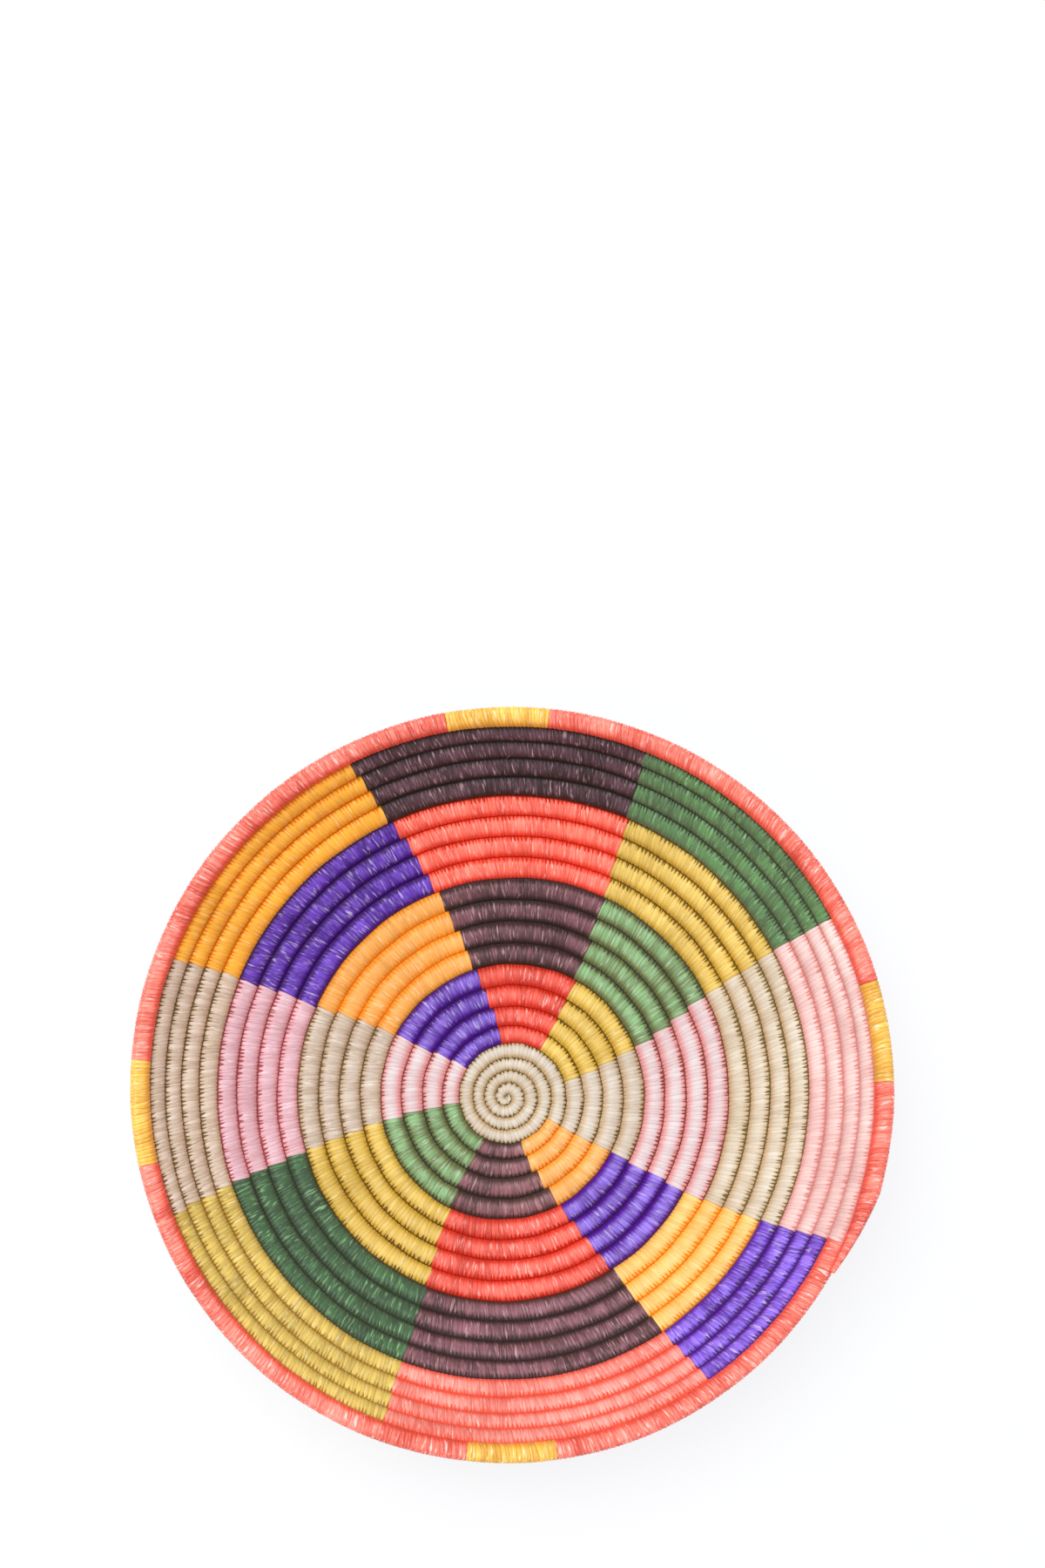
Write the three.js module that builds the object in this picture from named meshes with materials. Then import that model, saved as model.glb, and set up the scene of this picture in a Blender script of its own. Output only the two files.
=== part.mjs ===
import * as THREE from 'three';

// Peace basket: a shallow round bowl made of one grass coil, wrapped in dyed sisal and sewn row to row.
// Millimetres, +Z up, standing on the XY plane. The coil winds clockwise seen from above, middle to rim.
// A row is one turn of the coil. Row 0 is the first coloured row, and the rows of the middle are negative.
// A step is one straight length of a turn, and a sector is the width of one colour block.

// Driving dimensions of the bowl
const footRadius = 52; // flat round foot, out to where the wall starts to rise
const wallBow = 108; // radius of the arc in which the wall rises
const middlePitch = 5.2; // row to row in the natural middle
const ringPitch = 9.06; // row to row in the coloured rings
const middleThickness = 4.8; // thickness of a row in the middle
const ringThickness = 6.8; // thickness of a row in the coloured rings
const eyeRadius = 0.4; // small hole in the middle, round which the coil starts

// Rows where the coil changes, counted from the start of row 0
const middleRow = -3.5; // its inner seam would pass through the very middle
const coilStartRow = -4.15; // the wrap starts, as a thin tip
const grassStartRow = -3.4; // the wrap is full and the grass in it starts
const growthStartRow = -1.5; // the coil starts to grow
const growthEndRow = 4; // it has its full size

// Section of a row
const grooveDepth = 1.4; // from the crown of a row down to the seam beside it
const crownShare = 0.45; // share of a row's width that its flat crown takes
const sewnEdge = 1.3; // sewn sisal between the grass and the seam
const wrapThickness = 1.1; // sisal over and under the grass

// Clearances
const seamGap = 0.35; // between neighbouring wraps
const turnGap = 0.46; // between the turns of the natural middle
const grassGap = 0.35; // between the grass and its wrap

// Pattern: rings of four rows, each cut into colour blocks
const rowsPerRing = 4;
const stepsPerSector = 3;
const startAngle = 27.5; // where row 0 starts, in degrees clockwise from +X
const fullTurn = 360;
const dyes = {
  natural: '#d8c7a6',
  orange: '#f0913a',
  purple: '#593098',
  aubergine: '#4c3440',
  red: '#d94432',
  coral: '#dd6158',
  light_green: '#7ba06f',
  dark_green: '#35583e',
  mustard: '#dcb038',
  olive: '#bfa046',
  pink: '#eeb6b8',
  mauve: '#e3a3b2',
  salmon: '#efbfae',
  taupe: '#bda98c',
  sand: '#d5c4a3',
  yellow: '#f2b040',
};
// Each block starts on a line that sweeps back as it runs out. Its angles, in degrees clockwise from +X,
// are at the inner edge of each ring and at the rim, and its dyes are those of ring 1 to ring 4.
const sectors = [
  { line: [28.9, 28.3, 29.1, 27.6, 25.7], dyes: ['orange', 'purple', 'orange', 'purple'] },
  { line: [76.3, 64.3, 59.3, 57.5, 56.0], dyes: ['aubergine', 'red', 'aubergine', 'coral'] },
  { line: [121.6, 117.2, 112.6, 111.5, 110.4], dyes: ['light_green', 'mustard', 'dark_green', 'olive'] },
  { line: [174.1, 168.1, 163.8, 161.2, 158.4], dyes: ['pink', 'taupe', 'mauve', 'taupe'] },
  { line: [214.0, 208.3, 204.4, 202.3, 200.3], dyes: ['purple', 'orange', 'purple', 'orange'] },
  { line: [263.7, 255.5, 250.5, 245.9, 243.3], dyes: ['red', 'aubergine', 'red', 'aubergine'] },
  { line: [304.2, 299.9, 295.8, 293.5, 292.1], dyes: ['mustard', 'light_green', 'mustard', 'dark_green'] },
  { line: [346.0, 338.9, 333.3, 332.2, 332.6], dyes: ['sand', 'pink', 'sand', 'salmon'] },
];
const ringCount = sectors[0].dyes.length;
const rimRow = ringCount * rowsPerRing;
const stepsPerTurn = sectors.length * stepsPerSector;

// Rim: one more row with four yellow patches, whose tail tapers outside its own start
const yellowPatches = [[82.7, 96.7], [167.3, 183.6], [260.0, 276.0], [344.2, 359.7]];
const taperAngle = 377; // where the tail starts to taper
const tipAngle = 390.3; // where it ends
const tipShare = 0.3; // share of the section that is left at the tip

const sisal = { roughness: 0.75, metalness: 0 };
const grass = { color: '#b7a16b', roughness: 0.85, metalness: 0 };
const tiny = 1e-6; // steps that are closer than this are one

const { clamp, degToRad, lerp, smoothstep } = THREE.MathUtils;

function rowPitch(row) {
  return lerp(middlePitch, ringPitch, smoothstep(row, growthStartRow, growthEndRow));
}

function rowThickness(row) {
  return lerp(middleThickness, ringThickness, smoothstep(row, growthStartRow, growthEndRow));
}

// Length along the wall from the middle to the seam inside a row: the sum of the pitches before it.
function seamDistance(row) {
  const span = growthEndRow - growthStartRow;
  const x = clamp((row - growthStartRow) / span, 0, 1);
  const grown = span * (x ** 3 - x ** 4 / 2) + Math.max(0, row - growthEndRow);
  return middlePitch * (row - middleRow) + (ringPitch - middlePitch) * grown;
}

// Angle, clockwise from +X, of the line where a sector starts, at a row of the turn that starts there.
function lineAngle(sector, row) {
  if (sector === sectors.length) return lineAngle(0, row + 1) + fullTurn;
  const ring = clamp(row / rowsPerRing, 0, ringCount);
  const inner = Math.min(Math.floor(ring), ringCount - 1);
  const { line } = sectors[sector];
  return lerp(line[inner], line[inner + 1], ring - inner);
}

// Step, with its fraction, at which the rim reaches an angle.
function rimStep(angle) {
  const turns = Math.floor((angle - lineAngle(0, rimRow)) / fullTurn);
  const local = angle - turns * fullTurn;
  const sector = sectors.findLastIndex((_, index) => lineAngle(index, rimRow) <= local);
  const start = lineAngle(sector, rimRow);
  const fraction = (local - start) / (lineAngle(sector + 1, rimRow) - start);
  return turns * stepsPerTurn + (sector + fraction) * stepsPerSector;
}

// A point of the wall on one of the lines between steps. Row is counted at the start line, inset moves the
// point out along the wall, side is 1 inside the bowl and -1 outside, depth lies under the crown of the
// row, and share scales the height.
function linePoint(step, { row, inset = 0, side, depth, share = 1 }) {
  const turns = Math.floor(step / stepsPerTurn);
  const place = step / stepsPerSector - turns * sectors.length;
  const sector = Math.floor(place);
  const turnRow = row + turns;
  const angle = lerp(lineAngle(sector, turnRow), lineAngle(sector + 1, turnRow), place - sector);
  const coilRow = turnRow + (angle - startAngle) / fullTurn;
  const half = rowThickness(coilRow) / 2;
  const height = side * (half - depth) * share;
  const distance = seamDistance(coilRow) + inset;
  const slope = Math.max(0, distance - footRadius) / wallBow;
  const radius = Math.min(distance, footRadius) + (wallBow - height) * Math.sin(slope);
  const z = half + wallBow * (1 - Math.cos(slope)) + height * Math.cos(slope);
  const bearing = degToRad(-angle);
  return new THREE.Vector3(radius * Math.cos(bearing), radius * Math.sin(bearing), z);
}

// A point of the wall at any step: on the chord between two lines, moved along it by shift millimetres.
function wallPoint(step, place, shift = 0) {
  const line = Math.round(step);
  const onLine = Math.abs(step - line) < tiny;
  const before = onLine ? line - (shift < 0 ? 1 : 0) : Math.floor(step);
  const a = linePoint(before, place);
  const b = linePoint(before + 1, place);
  return a.lerp(b, step - before + shift / a.distanceTo(b));
}

// Steps of a piece from one place to another: both ends, and each line of the bowl between them.
function stepsBetween(from, to) {
  const steps = [from];
  for (let line = Math.floor(from + tiny) + 1; line < to - tiny; line++) steps.push(line);
  return [...steps, to];
}

// Outline of a run of rows, counter-clockwise seen along the coil: out under the bowl, back over its inside.
function rowsOutline(firstRow, rowCount, gap) {
  const endRow = firstRow + rowCount;
  const crest = [{ row: firstRow, inset: gap / 2, depth: grooveDepth }];
  for (let row = firstRow; row < endRow; row++) {
    if (row > firstRow) crest.push({ row, depth: grooveDepth });
    crest.push({ row: row + (1 - crownShare) / 2, depth: 0 });
    crest.push({ row: row + (1 + crownShare) / 2, depth: 0 });
  }
  crest.push({ row: endRow, inset: -gap / 2, depth: grooveDepth });
  const outside = crest.map((place) => ({ ...place, side: -1 }));
  const inside = crest.map((place) => ({ ...place, side: 1 }));
  return [...outside, ...inside.reverse()];
}

// Square passage along the middle of a row, or the grass in it, which is smaller by the clearance.
function passageOutline(row, step, clearance) {
  const middle = row + 1 / 2;
  const halfWidth = rowPitch(middle + step / stepsPerTurn) / 2 - sewnEdge - clearance;
  const depth = wrapThickness + clearance;
  const corners = [[-1, -1], [1, -1], [1, 1], [-1, 1]];
  return corners.map(([way, side]) => ({ row: middle, inset: way * halfWidth, side, depth }));
}

// Closed body swept through loops of points, with passages that are open or blind at either end. Each end is
// capped as its own flat layout is cut, so that the caps of two bodies that meet there match.
function sweptBody(outline, passages, ends) {
  const positions = [];
  const faces = [];
  const addLoops = (loops, facing) => {
    const start = positions.length / 3;
    const count = loops[0].length;
    loops.flat().forEach((point) => positions.push(...point));
    for (let loop = 0; loop + 1 < loops.length; loop++) {
      for (let corner = 0; corner < count; corner++) {
        const a = start + loop * count + corner;
        const b = start + loop * count + (corner + 1) % count;
        const quad = [[a, b, b + count], [a, b + count, a + count]];
        quad.forEach((face) => faces.push(facing > 0 ? face : face.reverse()));
      }
    }
    return { first: start, last: start + (loops.length - 1) * count };
  };
  const addCap = (starts, layout, facing) => {
    const corners = layout.flatMap((loop, index) => loop.map((_, corner) => starts[index] + corner));
    THREE.ShapeUtils.triangulateShape(layout[0], layout.slice(1)).forEach((face) => {
      const mapped = face.map((corner) => corners[corner]);
      faces.push(facing > 0 ? mapped : mapped.reverse());
    });
  };
  const shell = addLoops(outline, 1);
  const bores = passages.map((loops) => addLoops(loops, -1));
  ends.forEach(({ at, facing, layout, open }) => {
    const [outlineLoop, ...boreLoops] = layout;
    const starts = bores.map((bore) => bore[at]);
    if (open) {
      addCap([shell[at], ...starts], layout, facing);
    } else {
      addCap([shell[at]], [outlineLoop], facing);
      boreLoops.forEach((loop, index) => addCap([starts[index]], [loop], -facing));
    }
  });
  const indexed = new THREE.BufferGeometry();
  indexed.setAttribute('position', new THREE.Float32BufferAttribute(positions, 3));
  indexed.setIndex(faces.flat());
  const faceted = indexed.toNonIndexed();
  faceted.computeVertexNormals();
  return faceted;
}

// Flat layout of an outline, in which its cap is cut: out along the wall against height in it.
function flatOutline(places) {
  return places.map(({ row, inset = 0, side, depth }) => (
    new THREE.Vector2(row * ringPitch + inset, side * (ringThickness / 2 - depth))));
}

// The two ends of a swept body, with the flat layout of each.
function bodyEnds(layoutAt, from, to, openFirst = true, openLast = true) {
  return [
    { at: 'first', facing: -1, layout: layoutAt(from), open: openFirst },
    { at: 'last', facing: 1, layout: layoutAt(to), open: openLast },
  ];
}

// Wrap over one or more rows, drawn back by half a gap at both ends, with a passage for the grass in each
// row. Outside boreStart and boreEnd it is solid. Its section shrinks towards one edge, a row, by
// shrinkAt: the share that is left.
function wrapBody({
  firstRow, rowCount = 1, from, to, gap = seamGap, boreStart = from, boreEnd = to, edge = firstRow,
  shrinkAt = () => 1,
}) {
  const wrapped = Array.from({ length: rowCount }, (_, index) => firstRow + index);
  const steps = [...new Set([...stepsBetween(from, to), boreStart, boreEnd])].sort((a, b) => a - b);
  const shiftAt = (step) => (step === from ? 1 : step === to ? -1 : 0) * seamGap / 2;
  const loopAt = (places, step) => places.map((place) => wallPoint(step, place, shiftAt(step)));
  const outlineAt = (step) => rowsOutline(firstRow, rowCount, gap).map((place) => (
    { ...place, share: shrinkAt(step), row: lerp(edge, place.row, shrinkAt(step)) }));
  const shell = steps.map((step) => loopAt(outlineAt(step), step));
  const boreSteps = steps.filter((step) => step >= boreStart && step <= boreEnd);
  const bores = wrapped.map((row) => boreSteps.map((step) => loopAt(passageOutline(row, step, 0), step)));
  const layoutAt = (step) => [
    flatOutline(rowsOutline(firstRow, rowCount, gap)),
    ...wrapped.map((row) => flatOutline(passageOutline(row, step, 0))),
  ];
  return sweptBody(shell, bores, bodyEnds(layoutAt, from, to, boreStart === from, boreEnd === to));
}

function named(name, geometry, look) {
  const mesh = new THREE.Mesh(geometry, new THREE.MeshStandardMaterial(look));
  mesh.name = name;
  return mesh;
}

// Prints the least distance between points of a tube that lie at least half a turn apart along it.
function printLeastGap(name, loops) {
  const apart = stepsPerTurn / 2;
  let least = Infinity;
  loops.forEach((loop, index) => {
    const others = loops.slice(index + apart).flat();
    for (const point of loop) {
      for (const other of others) least = Math.min(least, point.distanceTo(other));
    }
  });
  console.log(`${name}: least gap to itself ${least.toFixed(2)} mm`);
}

// The grass: one unbroken tube from the middle to where the tail of the rim starts to taper.
function grassCoil() {
  const from = grassStartRow * stepsPerTurn;
  const to = rimRow * stepsPerTurn + rimStep(taperAngle);
  const shiftAt = (step) => (step === from ? 1 : step === to ? -1 : 0) * grassGap;
  const loops = stepsBetween(from, to).map((step) => (
    passageOutline(0, step, grassGap).map((place) => wallPoint(step, place, shiftAt(step)))));
  printLeastGap('foundation_coil', loops);
  const layoutAt = (step) => [flatOutline(passageOutline(0, step, grassGap))];
  return named('foundation_coil', sweptBody(loops, [], bodyEnds(layoutAt, from, to)), grass);
}

// The natural middle: one tube that starts as a thin tip round the eye and winds out to the start line.
function middleWrap() {
  const from = coilStartRow * stepsPerTurn;
  const boreStart = grassStartRow * stepsPerTurn;
  const shrinkAt = (step) => {
    const room = seamDistance(step / stepsPerTurn + 1) - eyeRadius;
    return clamp(room / middlePitch, 0, 1);
  };
  const body = wrapBody({ firstRow: 0, from, to: 0, gap: turnGap, boreStart, edge: 1, shrinkAt });
  const outline = rowsOutline(0, 1, turnGap);
  const loops = stepsBetween(boreStart, 0).map((step) => outline.map((place) => wallPoint(step, place)));
  printLeastGap('centre_wrap', loops);
  return named('centre_wrap', body, { color: dyes.natural, ...sisal });
}

// The block of one dye in one ring.
function colourBlock(ring, sector) {
  const dye = sectors[sector].dyes[ring];
  const from = sector * stepsPerSector;
  const body = wrapBody({
    firstRow: ring * rowsPerRing,
    rowCount: rowsPerRing,
    from,
    to: from + stepsPerSector,
  });
  return named(`ring_${ring + 1}_${dye}_wrap`, body, { color: dyes[dye], ...sisal });
}

// One length of the rim between two angles.
function rimLength(name, dye, fromAngle, toAngle) {
  const body = wrapBody({ firstRow: rimRow, from: rimStep(fromAngle), to: rimStep(toAngle) });
  return named(name, body, { color: dyes[dye], ...sisal });
}

// The last length of the rim. Its passage ends where it starts to taper, and its tip lies on the row within.
function rimTail(fromAngle) {
  const boreEnd = rimStep(taperAngle);
  const to = rimStep(tipAngle);
  const shrinkAt = (step) => lerp(1, tipShare, clamp((step - boreEnd) / (to - boreEnd), 0, 1));
  const body = wrapBody({ firstRow: rimRow, from: rimStep(fromAngle), to, boreEnd, shrinkAt });
  return named('rim_tail_wrap', body, { color: dyes.coral, ...sisal });
}

const basket = new THREE.Group();
basket.add(grassCoil(), middleWrap());
for (let ring = 0; ring < ringCount; ring++) {
  sectors.forEach((_, sector) => basket.add(colourBlock(ring, sector)));
}
let coralStart = lineAngle(0, rimRow);
yellowPatches.forEach(([start, end], index) => {
  basket.add(rimLength(`rim_coral_wrap_${index + 1}`, 'coral', coralStart, start));
  basket.add(rimLength(`rim_yellow_wrap_${index + 1}`, 'yellow', start, end));
  coralStart = end;
});
basket.add(rimTail(coralStart));

// The bowl stands with the middle of its outline over the origin.
const middle = new THREE.Box3().setFromObject(basket).getCenter(new THREE.Vector3());
basket.position.set(-middle.x, -middle.y, 0);

export default basket;
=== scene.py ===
import bpy
import numpy as np
from mathutils import Matrix, Vector


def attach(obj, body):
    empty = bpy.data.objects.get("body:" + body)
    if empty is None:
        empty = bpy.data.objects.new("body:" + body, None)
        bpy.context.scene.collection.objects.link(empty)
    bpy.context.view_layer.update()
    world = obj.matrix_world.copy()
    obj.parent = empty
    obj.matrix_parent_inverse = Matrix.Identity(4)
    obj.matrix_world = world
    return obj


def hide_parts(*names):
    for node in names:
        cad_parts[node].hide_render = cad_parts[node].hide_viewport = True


# Peace basket: one grass coil, wrapped in dyed sisal and sewn row to row, from the middle to the rim.
# A row is one turn of the coil, and row 0 is the first coloured one. Angles are degrees clockwise from +X.
# Sizes are in millimetres until a mesh is made of them.

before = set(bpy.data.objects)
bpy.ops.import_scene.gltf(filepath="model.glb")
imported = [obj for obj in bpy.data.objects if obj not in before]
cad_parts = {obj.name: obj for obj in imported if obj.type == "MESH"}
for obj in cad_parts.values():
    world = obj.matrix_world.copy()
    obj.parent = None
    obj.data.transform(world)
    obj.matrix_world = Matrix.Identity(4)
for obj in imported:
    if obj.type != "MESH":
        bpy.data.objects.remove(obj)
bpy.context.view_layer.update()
print("frame loaded:", len(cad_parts), "nodes")

coil = {
    "footRadius": 52.0,  # flat foot, out to where the wall starts to rise
    "wallBow": 108.0,  # radius of the arc in which the wall rises
    "middlePitch": 5.2,
    "ringPitch": 9.06,
    "middleThickness": 4.8,
    "ringThickness": 6.8,
    "middleRow": -3.5,  # row whose inner seam would pass through the very middle
    "growthStart": -1.5,  # rows between which the coil grows to its full size
    "growthEnd": 4.0,
    "startAngle": 27.5,  # where row 0 starts
    "middleAt": (-0.779, -0.785),  # the middle of the coil, seen from the middle of the outline
    "waver": 0.11,  # how far a seam strays from its even course
    "waves": ((1.0, 46.3, 0.0), (0.7, 107.6, 1.3), (0.5, 171.9, 4.1)),  # share, radians a row and phase
    "fullWaver": 3.0,  # rows from the very middle to where a seam strays in full
}

# How hand work has made the coil uneven: at each row, how far its inner seam lies outside its even course,
# how far the turn lies off centre, to +X and to +Y, and how far it bulges along one diameter, at which angle.
uneven = {
    "row": (-3.5, 0, 3, 6, 9, 12, 16, 17),
    "outward": (0.0, -0.15, 0.5, -0.25, -0.25, 0.15, 0.2, -0.3),
    "toX": (-1.0, 0.4, -0.45, -0.3, 0.0, -0.05, -0.4, -0.4),
    "toY": (-0.9, -0.9, -0.95, -0.45, 0.25, 0.45, 1.0, 0.6),
    "oval": (0.0, 0.25, 0.5, 0.65, 0.75, 0.68, 0.4, 0.2),
    "ovalAt": 124.0,
}

# Each block starts on a line. Its angles are at the inner edge of each ring and at the rim.
sectors = [
    {"line": (28.9, 28.3, 29.1, 27.6, 25.7), "dyes": ("orange", "purple", "orange", "purple")},
    {"line": (76.3, 64.3, 59.3, 57.5, 56.0), "dyes": ("aubergine", "red", "aubergine", "coral")},
    {"line": (121.6, 117.2, 112.6, 111.5, 110.4), "dyes": ("light_green", "mustard", "dark_green", "olive")},
    {"line": (174.1, 168.1, 163.8, 161.2, 158.4), "dyes": ("pink", "taupe", "mauve", "taupe")},
    {"line": (214.0, 208.3, 204.4, 202.3, 200.3), "dyes": ("purple", "orange", "purple", "orange")},
    {"line": (263.7, 255.5, 250.5, 245.9, 243.3), "dyes": ("red", "aubergine", "red", "aubergine")},
    {"line": (304.2, 299.9, 295.8, 293.5, 292.1), "dyes": ("mustard", "light_green", "mustard", "dark_green")},
    {"line": (346.0, 338.9, 333.3, 332.2, 332.6), "dyes": ("sand", "pink", "sand", "salmon")},
]
rowsPerRing = 4
rimRow = 16


# Share of its growth that the coil has at a row: the smooth step 3x^2 - 2x^3 between the two growth rows.
def grownShare(row):
    x = np.clip((row - coil["growthStart"]) / (coil["growthEnd"] - coil["growthStart"]), 0, 1)
    return x * x * (3 - 2 * x)


# Half the thickness of the coil at a row: from the middle's to the rings', by the share grown.
def halfThickness(row):
    thin, thick = coil["middleThickness"], coil["ringThickness"]
    return (thin + (thick - thin) * grownShare(row)) / 2


# How far a seam strays sideways: a sum of sine waves along the coil, fading to nothing in the very middle.
def seamWaver(row):
    waves = sum(share * np.sin(pace * row + phase) for share, pace, phase in coil["waves"])
    return coil["waver"] * waves * np.clip((row - coil["middleRow"]) / coil["fullWaver"], 0, 1)


# Distance along the wall from the middle to the seam inside a row: the sum of the pitches before it, and what
# hand work adds.
def seamDistance(row):
    span = coil["growthEnd"] - coil["growthStart"]
    x = np.clip((row - coil["growthStart"]) / span, 0, 1)
    extra = span * (x ** 3 - x ** 4 / 2) + np.maximum(0, row - coil["growthEnd"])
    even = coil["middlePitch"] * (row - coil["middleRow"])
    strayed = seamWaver(row) + np.interp(row, uneven["row"], uneven["outward"])
    return even + (coil["ringPitch"] - coil["middlePitch"]) * extra + strayed


# Distances of the rows at which hand work is given, for reading it at any distance.
unevenAt = seamDistance(np.array(uneven["row"], float))


# Angle of the line where a sector starts, at a row: straight between its angles at the edges of the rings.
def lineAngle(sector, row):
    if sector == len(sectors):
        return lineAngle(0, row + 1) + 360
    line = sectors[sector]["line"]
    return float(np.interp(row / rowsPerRing, range(len(line)), line))


# Radius of a point round the middle: out along the flat foot, then along the arc of the wall.
def wallRadius(distance, height):
    slope = np.maximum(0, distance - coil["footRadius"]) / coil["wallBow"]
    return np.minimum(distance, coil["footRadius"]) + (coil["wallBow"] - height) * np.sin(slope)


# A point of the wall, from its angle, its distance along the wall and its height off the wall's middle. It is
# moved out by the bulge times the cosine of twice the angle, and sideways as the turn lies off centre.
def wallPoint(angle, distance, height, half):
    bulge = np.interp(distance, unevenAt, uneven["oval"]) * np.cos(np.radians(2 * (angle - uneven["ovalAt"])))
    distance = distance + bulge
    slope = np.maximum(0, distance - coil["footRadius"]) / coil["wallBow"]
    radius = wallRadius(distance, height)
    z = half + coil["wallBow"] * (1 - np.cos(slope)) + height * np.cos(slope)
    bearing = np.radians(-angle)
    x = radius * np.cos(bearing) + coil["middleAt"][0] + np.interp(distance, unevenAt, uneven["toX"])
    y = radius * np.sin(bearing) + coil["middleAt"][1] + np.interp(distance, unevenAt, uneven["toY"])
    return np.stack(np.broadcast_arrays(x, y, z), axis=-1)


# Rows of the coil at an angle, where turn counts the rows at the start angle.
def coilRow(turn, angle):
    return turn + (angle - coil["startAngle"]) / 360


strand = {
    "width": 1.6,  # one turn of sisal, measured along the row
    "loops": (0.0, 0.17, 0.5, 0.83),  # places of the loops of vertices in each strand
    "around": 24,  # vertices in each loop
    "samples": 2000,  # points at which the length of a row is added up
    "squareness": 2.0,  # exponent of the section: 2 is an ellipse, more is squarer
    "swell": 0.3,  # how far a row would bulge past its seam if its neighbour didn't press it flat
    "bite": 0.04,  # how far rows press into each other at the seam
    "crownNotch": 0.14,  # depth of the notch between two strands, on the crown
    "crownFade": (1.6, 0.1),  # how fast that depth is reached from the seams, and the share left at them
    "outerNotch": (0.75, 36.0),  # depth where the next row is sewn through, and degrees from the outer seam
    "innerNotch": (0.4, 146.0),
    "notchSpread": 19.0,  # degrees
    "notchSharpness": 3,  # exponent: more is a narrower notch
    "stray": 0.26,  # how uneven the widths are, as a share
    "lift": (-0.1, 0.04),  # how far a strand lies off its even height
    "slant": (-0.07, -0.19),  # millimetres along the row for each one across it, in row 0 and on the rim
    "slantStray": 0.12,
    "straightEnd": 3,  # strands over which the slant sets in from either end of a length
    "leastRadius": 3.0,  # nearer to the middle than this the slant is worked out as if it were here
}


# Depth of the notches by the place round the section: a low level on the crown and a bell on each shoulder.
def notchDepth(turn):
    fromOuter = np.degrees(np.arctan2(np.abs(np.sin(turn)), np.cos(turn)))
    fade, least = strand["crownFade"]
    deepest = strand["crownNotch"] * np.clip(np.sin(np.radians(fromOuter)) * fade, least, 1)
    for depth, at in (strand["outerNotch"], strand["innerNotch"]):
        deepest = np.maximum(deepest, depth * np.exp(-((fromOuter - at) / strand["notchSpread"]) ** 2))
    return deepest


# Middle, half width and half thickness of a wrapped length at an angle, and what is left of its section.
def wrapCourse(turn, angle, share, anchor):
    row = coilRow(turn, angle)
    inner, outer = seamDistance(row), seamDistance(row + 1)
    left = share(angle)
    halfWidth = (outer - inner) / 2 * left
    middle = inner + halfWidth if anchor == 0 else outer - halfWidth
    return middle, halfWidth, halfThickness(row + 0.5), left


# Places of the loops of a wrapped length, counted in strands, their angles and the number of strands. The
# length walked along the row is shared out evenly between the strands, give or take their stray.
def strandPlaces(turn, fromAngle, toAngle, draw, share, anchor):
    fine = np.linspace(fromAngle, toAngle, strand["samples"])
    radius = wallRadius(wrapCourse(turn, fine, share, anchor)[0], 0)
    walked = np.concatenate(([0], np.cumsum((radius[1:] + radius[:-1]) / 2 * np.radians(np.diff(fine)))))
    count = max(2, round(walked[-1] / strand["width"]))
    edges = np.arange(count + 1) + draw.uniform(-1, 1, count + 1) * strand["stray"]
    edges[0], edges[-1] = 0, count
    place = np.append((np.arange(count)[:, None] + np.array(strand["loops"])).ravel(), count)
    angle = np.interp(np.interp(place, np.arange(count + 1), edges) * walked[-1] / count, walked, fine)
    return place, angle, count


# Width and height of each vertex off the middle of the section: a superellipse, drawn in where two strands
# meet, and cut flat where the next row presses on it.
def wrapSection(place, halfWidth, half, left, lift):
    turnRound = np.linspace(0, 2 * np.pi, strand["around"], endpoint=False)[None, :]
    power = 2 / strand["squareness"]
    across = np.sign(np.cos(turnRound)) * np.abs(np.cos(turnRound)) ** power
    upward = np.sign(np.sin(turnRound)) * np.abs(np.sin(turnRound)) ** power
    notch = np.abs(2 * (place % 1) - 1)[:, None] ** strand["notchSharpness"]
    depth = (notchDepth(turnRound) * notch - lift * np.abs(np.sin(turnRound))) * left
    width = (halfWidth + strand["swell"] * left) * across
    height = half * left * upward
    kept = 1 - np.maximum(depth, 0) / np.hypot(width, height)
    room = halfWidth + strand["bite"]
    return np.clip(width * kept, -room, room), height * kept


# Loops of vertices of one wrapped length of a row, their places and the number of strands. The section may
# shrink towards one seam: share is what is left of it at an angle, and anchor is 0 for the inner seam and 1
# for the outer one.
def wrapLoops(turn, fromAngle, toAngle, seed, share=lambda angle: np.ones_like(angle), anchor=0):
    draw = np.random.default_rng(seed)
    place, angle, count = strandPlaces(turn, fromAngle, toAngle, draw, share, anchor)
    middle, halfWidth, half, left = (part[:, None] for part in wrapCourse(turn, angle, share, anchor))
    lift = draw.uniform(*strand["lift"], count + 1)[np.minimum(place.astype(int), count)][:, None]
    width, height = wrapSection(place, halfWidth, half, left, lift)

    even = np.interp(turn, (0, rimRow), strand["slant"])
    slants = even + draw.uniform(-1, 1, count + 1) * strand["slantStray"]
    slants[0] = slants[-1] = even
    nearEnd = np.minimum(place, count - place) / strand["straightEnd"]
    slant = (np.interp(place, np.arange(count + 1), slants) * np.clip(nearEnd, 0, 1))[:, None]
    shift = np.degrees(slant * width / np.maximum(wallRadius(middle, 0), strand["leastRadius"]))
    return wallPoint(angle[:, None] + shift, middle + width, height, half), place, count


# Quads between the loops of a tube, each from one vertex round to the next and on along the tube.
def tubeFaces(start, loopCount, around, inward=False):
    loop, corner = np.meshgrid(np.arange(loopCount - 1), np.arange(around), indexing="ij")
    a = start + loop * around + corner
    b = start + loop * around + (corner + 1) % around
    quads = np.stack((a, b, b + around, a + around), axis=-1).reshape(-1, 4)
    return quads[:, ::-1] if inward else quads


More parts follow.
